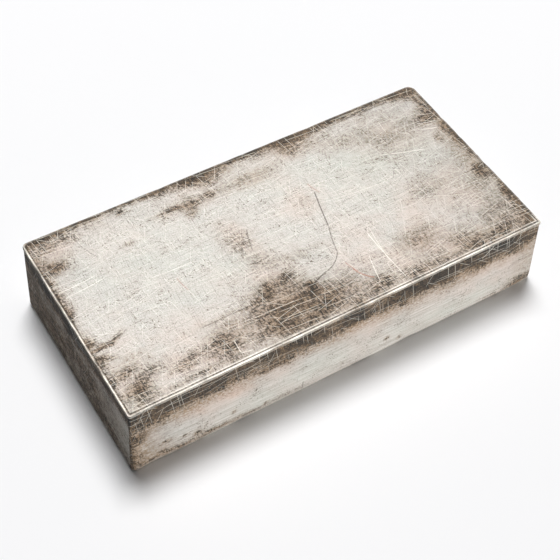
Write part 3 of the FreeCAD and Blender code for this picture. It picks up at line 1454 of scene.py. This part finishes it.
        # The upper face: long waves, and the groove that the rolled edge left inside the rim.
        waves = 0.04 * (cloud(points, 26.0, 11) - 1.0) + 0.008 * cloud(points, 3.5, 12)
        groove = -0.10 * np.exp(-(((rim - GROOVE_IN) / 0.16) ** 2))
        groove = groove - 0.03 * np.exp(-(((rim - 2.2) / 0.7) ** 2))
        groove *= 0.75 + 0.5 * cloud(points, 9.0, 13)
        moved[:, 2] += np.where(on_top, waves + groove, 0.0)
        # The sides: the lip wavers, and the body has faint waves.
        on_side = ~on_top & (points[:, 2] > 0.05)
        on_lip = on_side & (points[:, 2] > self.height - self.lip_depth)
        push = 0.03 * (cloud(points, 18.0, 21) - 1.0)
        lip_waver = 0.06 * (cloud(points, 5.0, 22) - 1.0) + 0.05 * (cloud(points, 1.6, 23, 2) - 1.0)
        push += np.where(on_lip, lip_waver, 0.0)
        half_x, half_y = self.half_foot
        out_x = np.clip((np.abs(points[:, 0]) - (half_x - 4)) / 4, 0, 1) ** 4 * np.sign(points[:, 0])
        out_y = np.clip((np.abs(points[:, 1]) - (half_y - 4)) / 4, 0, 1) ** 4 * np.sign(points[:, 1])
        size = np.hypot(out_x, out_y) + 1e-9
        outward = np.stack([out_x / size, out_y / size, np.zeros(len(points))], axis=1)
        moved += np.where(on_side, push, 0.0)[:, None] * outward
        # Dents: each pushes the surface in, most at its own centre.
        centre = np.array([0.0, 0.0, self.height / 2])
        for dent in DENTS:
            away = (points - np.array(dent.centre)) / np.array(dent.half)
            strength = dent.depth * np.exp(-np.sum(away**2, axis=1))
            inward = centre - np.array(dent.centre)
            # It pushes straight in from each face that it lies on, so one on an edge goes in aslant.
            scale = np.array([half_x, half_y, self.height / 2])
            shares = np.abs(inward) / scale
            direction = np.where(shares > 0.93, np.sign(inward), 0.0)
            direction = direction / (np.linalg.norm(direction) + 1e-9)
            moved += strength[:, None] * direction
        return moved

    def marks(self, points: np.ndarray, normals: np.ndarray) -> dict[Mark, np.ndarray]:
        """Works out how much of each mark every vertex carries.

        A patch fades with the distance from its face's plane too, so it can run over an edge.

        Args:
            points: The surface.
            normals: Each vertex's outward direction.

        Returns:
            One array for each mark.
        """
        shift = np.stack([cloud(points, 5.0, seed, 4) for seed in (31, 32, 33)], axis=1) * 1.3
        values = {mark: np.zeros(len(points)) for mark in Mark}
        for face, by_mark in PATCHES.items():
            normal_axis = 3 - face.u_axis - face.v_axis
            off = (points[:, normal_axis] - face.plane) / 1.8
            middle = self.height / 2 if normal_axis == 2 else 0.0
            facing = np.clip(normals[:, normal_axis] * np.sign(face.plane - middle), 0, 1)
            near = np.exp(-(off**2)) * np.clip(facing * 3, 0, 1)
            u = points[:, face.u_axis] * face.u_sense + shift[:, face.u_axis]
            v = points[:, face.v_axis] + shift[:, face.v_axis]
            for mark, patches in by_mark.items():
                for patch in patches:
                    turn = math.radians(patch.turn_deg)
                    du, dv = u - patch.u, v - patch.v
                    across = (du * math.cos(turn) + dv * math.sin(turn)) / patch.half_u
                    upward = (dv * math.cos(turn) - du * math.sin(turn)) / patch.half_v
                    distance = np.hypot(across, upward)
                    values[mark] += patch.amount * np.exp(-(distance**patch.firm)) * near
        return values

    def build(self) -> bpy.types.Object:
        """Makes the bar's mesh, with its marks and its two maps.

        Returns:
            The new object.
        """
        points, faces, rim = self.surface()
        worn = self.worn(points, rim)
        mesh = bpy.data.meshes.new("silver_bar_surface")
        mesh.from_pydata((worn * MM).tolist(), [], faces.tolist())
        mesh.update()
        mesh.polygons.foreach_set("use_smooth", np.ones(len(faces), dtype=bool))
        normals = np.empty(len(worn) * 3)
        mesh.vertices.foreach_get("normal", normals)
        normals = normals.reshape(-1, 3)
        marks = self.marks(points, normals)
        marks[Mark.TARNISH] += self.edge_tarnish(points, rim)
        layers = {mark.value: value for mark, value in marks.items()}
        layers["rim"] = rim
        layers["wear_and_highlight"] = self.wear_and_highlight(points, rim)
        for name, value in layers.items():
            layer = mesh.attributes.new(name, "FLOAT", "POINT")
            layer.data.foreach_set("value", value.astype(np.float32))
        self.add_maps(mesh, points, faces)
        self.object = bpy.data.objects.new("silver_bar_body", mesh)
        bpy.context.scene.collection.objects.link(self.object)
        return self.object

    def edge_tarnish(self, points: np.ndarray, rim: np.ndarray) -> np.ndarray:
        """How much tarnish gathers inside the upper face's rim, most at the back and the right.

        Args:
            points: The surface.
            rim: Each point's distance in from the lip's edge.

        Returns:
            One value for each vertex.
        """
        back = np.clip((points[:, 1] - 24) / 10, 0, 1)
        right = np.clip((points[:, 0] - 60) / 10, 0, 1)
        ragged = np.clip(0.9 + 1.1 * cloud(points, 7.0, 51), 0.1, 2)
        reach = 1.6 + 1.2 * cloud(points, 12.0, 52)
        strength = 0.26 + 0.20 * back + 0.20 * right
        fade = np.exp(-np.clip(rim - 0.6, 0, None) / np.clip(reach, 0.6, 4))
        return np.where(rim > 0.3, strength * ragged * fade, 0)

    def wear_and_highlight(self, points: np.ndarray, rim: np.ndarray) -> np.ndarray:
        """How bright each place is: along the rim, the foot's edge and the corners, partly rubbed by handling
        and partly a painted highlight on the rounded lip and foot.

        Args:
            points: The surface.
            rim: Each point's distance in from the lip's edge.

        Returns:
            One value for each vertex, from nothing to one.
        """
        patchy = np.clip(0.75 + 0.6 * cloud(points, 6.0, 41), 0, 1)
        # The rounded lip, partly rubbed wear and partly painted highlight, and a second painted highlight inside
        # the groove at the front.
        edge = np.exp(-(((rim - 0.35) / 0.30) ** 2))
        second = 0.55 * np.exp(-(((rim - 1.40) / 0.22) ** 2))
        front = np.clip((-points[:, 1] - 30) / 5, 0, 1)
        left = np.clip((-points[:, 0] - 68) / 4, 0, 1)
        side = np.clip(front + 0.8 * left, 0.12, 1)
        # The foot's rounding: partly rubbed wear, partly painted highlight.
        foot = 0.45 * np.exp(-(((points[:, 2] - 0.7) / 0.5) ** 2)) * (points[:, 2] > 0.05)
        return np.clip((edge * side + second * front) * patchy + foot * patchy**2, 0, 1)

    def add_maps(self, mesh: bpy.types.Mesh, points: np.ndarray, faces: np.ndarray) -> None:
        """Adds the face map, in millimetres, and a tidy map for baking.

        Each face of the mesh goes to the side of the bar that it looks towards most, and is laid flat.

        Args:
            mesh: The bar's mesh.
            points: Its smooth vertices, in millimetres.
            faces: Its four-cornered faces.
        """
        corners = points[faces]
        cross = np.cross(corners[:, 2] - corners[:, 0], corners[:, 3] - corners[:, 1])
        axis = np.argmax(np.abs(cross), axis=1)
        positive = np.take_along_axis(cross, axis[:, None], axis=1)[:, 0] > 0
        order = {
            (2, True): Face.TOP, (2, False): Face.UNDERSIDE, (1, False): Face.FRONT,
            (1, True): Face.BACK, (0, True): Face.RIGHT, (0, False): Face.LEFT,
        }
        # Where each side goes on the bake map: the middle of its strip, in millimetres.
        strips = {
            Face.TOP: (76.0, 38.0), Face.UNDERSIDE: (76.0, 115.0), Face.FRONT: (76.0, 155.0),
            Face.BACK: (76.0, 186.0), Face.RIGHT: (38.0, 217.0), Face.LEFT: (114.0, 217.0),
        }
        span_u, span_v = 152.0, 247.0
        on_face = np.zeros((len(faces), 4, 2))
        on_bake = np.zeros((len(faces), 4, 2))
        for (face_axis, is_positive), face in order.items():
            chosen = (axis == face_axis) & (positive == is_positive)
            u = corners[chosen][:, :, face.u_axis] * face.u_sense
            v = corners[chosen][:, :, face.v_axis]
            on_face[chosen] = np.stack([u + face.place[0], v + face.place[1]], axis=-1)
            middle_u, middle_v = strips[face]
            on_bake[chosen] = np.stack([(u + middle_u) / span_u, (v + middle_v) / span_v], axis=-1)
        for name, places in ((FACE_MAP, on_face), (BAKE_MAP, on_bake)):
            layer = mesh.uv_layers.new(name=name)
            layer.data.foreach_set("uv", places.reshape(-1).astype(np.float32))

    def dress(self, finish: TarnishedSilver) -> None:
        """Gives the bar its finish, and ties it to the frame.

        Args:
            finish: The silver's finish.
        """
        assert self.object is not None
        self.object.data.materials.append(finish.material())
        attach(self.object, "root")
        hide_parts(NODE)


# ---------------------------------------------------------------------------------------------------
# The studio
# ---------------------------------------------------------------------------------------------------


@dataclass(frozen=True)
class SoftLight:
    """A square soft light that looks at the bar: its direction, distance, size, power and colour.

    A flagged light is kept off the floor, as with black cards, so that it leaves the bar's shadow alone.
    """

    name: str
    azimuth_deg: float
    elevation_deg: float
    distance: float
    size: float
    watts: float
    colour: str = "#FFFFFF"
    flagged: bool = False

    def build(self, target: Vector, lit: bpy.types.Object) -> bpy.types.Object:
        """Makes the light.

        Args:
            target: The point that it looks at, in metres.
            lit: What a flagged light shines on alone.

        Returns:
            The new light.
        """
        lamp = bpy.data.lights.new(self.name, "AREA")
        lamp.shape = "SQUARE"
        lamp.size = self.size
        lamp.energy = self.watts
        lamp.color = linear(self.colour)[:3]
        holder = bpy.data.objects.new(self.name, lamp)
        back = direction(self.azimuth_deg, self.elevation_deg)
        holder.matrix_world = looking(target + back * self.distance, back, 0.0)
        bpy.context.scene.collection.objects.link(holder)
        if self.flagged:
            receivers = bpy.data.collections.new(self.name + "_receivers")
            receivers.objects.link(lit)
            holder.light_linking.receiver_collection = receivers
        return holder


def direction(azimuth_deg: float, elevation_deg: float) -> Vector:
    """The direction from the bar to a viewer. Azimuth 0 stands in front, and 90 on the right.

    Args:
        azimuth_deg: The viewer's angle round the bar.
        elevation_deg: The viewer's angle above the floor.

    Returns:
        A direction of length one.
    """
    azimuth, elevation = math.radians(azimuth_deg), math.radians(elevation_deg)
    level = math.cos(elevation)
    return Vector((math.sin(azimuth) * level, -math.cos(azimuth) * level, math.sin(elevation)))


def looking(place: Vector, back: Vector, roll_deg: float) -> Matrix:
    """The matrix of a camera or light at a place, looking against the direction back.

    Args:
        place: Where it stands, in metres.
        back: The direction from what it looks at to itself.
        roll_deg: How far it is turned about its own line of sight.

    Returns:
        The object's matrix.
    """
    right = Vector((0.0, 0.0, 1.0)).cross(back).normalized()
    up = back.cross(right)
    roll = math.radians(roll_deg)
    turned_right = math.cos(roll) * right + math.sin(roll) * up
    turned_up = -math.sin(roll) * right + math.cos(roll) * up
    turned = Matrix((turned_right, turned_up, back)).transposed()
    return Matrix.Translation(place) @ turned.to_4x4()


@dataclass
class Studio:
    """The floor, the soft lights and the camera."""

    middle: Vector
    camera_azimuth_deg: float = -33.234
    camera_elevation_deg: float = 51.283
    camera_roll_deg: float = 2.656
    camera_distance: float = 0.41022
    camera_aim: tuple[float, float, float] = (-0.00325, -0.00333, 0.01029)
    lens: float = 82.97
    floor_size: float = 6.0
    world_strength: float = 0.04
    world_colour: str = "#FBFCFF"
    lights: tuple[SoftLight, ...] = field(
        default_factory=lambda: (
            SoftLight("key_behind", 152.0, 71.0, 3.3, 1.2, 108.0, "#FFFFFF"),
            SoftLight("key_overhead", 150.0, 85.0, 3.3, 2.7, 12.6, "#FFFFFF"),
            SoftLight("front_fill", 14.0, 10.0, 1.3, 0.4, 29.0, "#FFFEFC", True),
        )
    )

    def build_floor(self) -> bpy.types.Object:
        """Makes the floor: a level square grid, with its middle under the bar.

        Returns:
            The floor.
        """
        steps = np.linspace(-0.5, 0.5, 25) * self.floor_size
        x, y = np.meshgrid(steps, steps, indexing="ij")
        number = np.arange(x.size).reshape(x.shape)
        faces = np.stack(
            [number[:-1, :-1], number[1:, :-1], number[1:, 1:], number[:-1, 1:]], axis=-1
        ).reshape(-1, 4)
        mesh = bpy.data.meshes.new("floor")
        mesh.from_pydata(np.stack([x, y, np.zeros_like(x)], axis=-1).reshape(-1, 3).tolist(), [], faces.tolist())
        mesh.materials.append(PaleFloor().material())
        floor = bpy.data.objects.new("floor", mesh)
        bpy.context.scene.collection.objects.link(floor)
        return floor

    def build_light(self, bar: bpy.types.Object) -> None:
        """Makes the soft lights and the even light of the room.

        Args:
            bar: What the flagged lights shine on alone.
        """
        for light in self.lights:
            light.build(self.middle, bar)
        world = bpy.data.worlds.new("studio")
        world.use_nodes = True
        tree = world.node_tree
        tree.nodes.clear()
        background = add_node(
            tree, "Background", None, {"Color": linear(self.world_colour), "Strength": self.world_strength}
        )
        add_node(tree, "OutputWorld", None, {"Surface": background})
        bpy.context.scene.world = world

    def build_camera(self) -> bpy.types.Object:
        """Makes the camera and hands it to the scene.

        Returns:
            The camera.
        """
        lens = bpy.data.cameras.new("camera")
        lens.lens = self.lens
        lens.sensor_width = 36.0
        lens.clip_start = 0.01
        camera = bpy.data.objects.new("camera", lens)
        back = direction(self.camera_azimuth_deg, self.camera_elevation_deg)
        place = Vector(self.camera_aim) + back * self.camera_distance
        camera.matrix_world = looking(place, back, self.camera_roll_deg)
        bpy.context.scene.collection.objects.link(camera)
        bpy.context.scene.camera = camera
        return camera


def main() -> None:
    """Builds the studio and the bar."""
    logging.basicConfig(level=logging.INFO, format="%(name)s: %(message)s")
    bpy.context.scene.view_settings.view_transform = "Standard"
    low, high = (Vector(corner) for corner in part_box(NODE))
    studio = Studio(middle=(low + high) / 2)
    studio.build_camera()
    studio.build_floor()
    bar = SilverBar(low, high)
    body = bar.build()
    bar.dress(TarnishedSilver())
    log.info("bar: %d vertices, %d faces", len(body.data.vertices), len(body.data.polygons))
    studio.build_light(body)
    log.info("studio: camera, floor and %d soft lights", len(studio.lights))


if __name__ == "__main__":
    main()
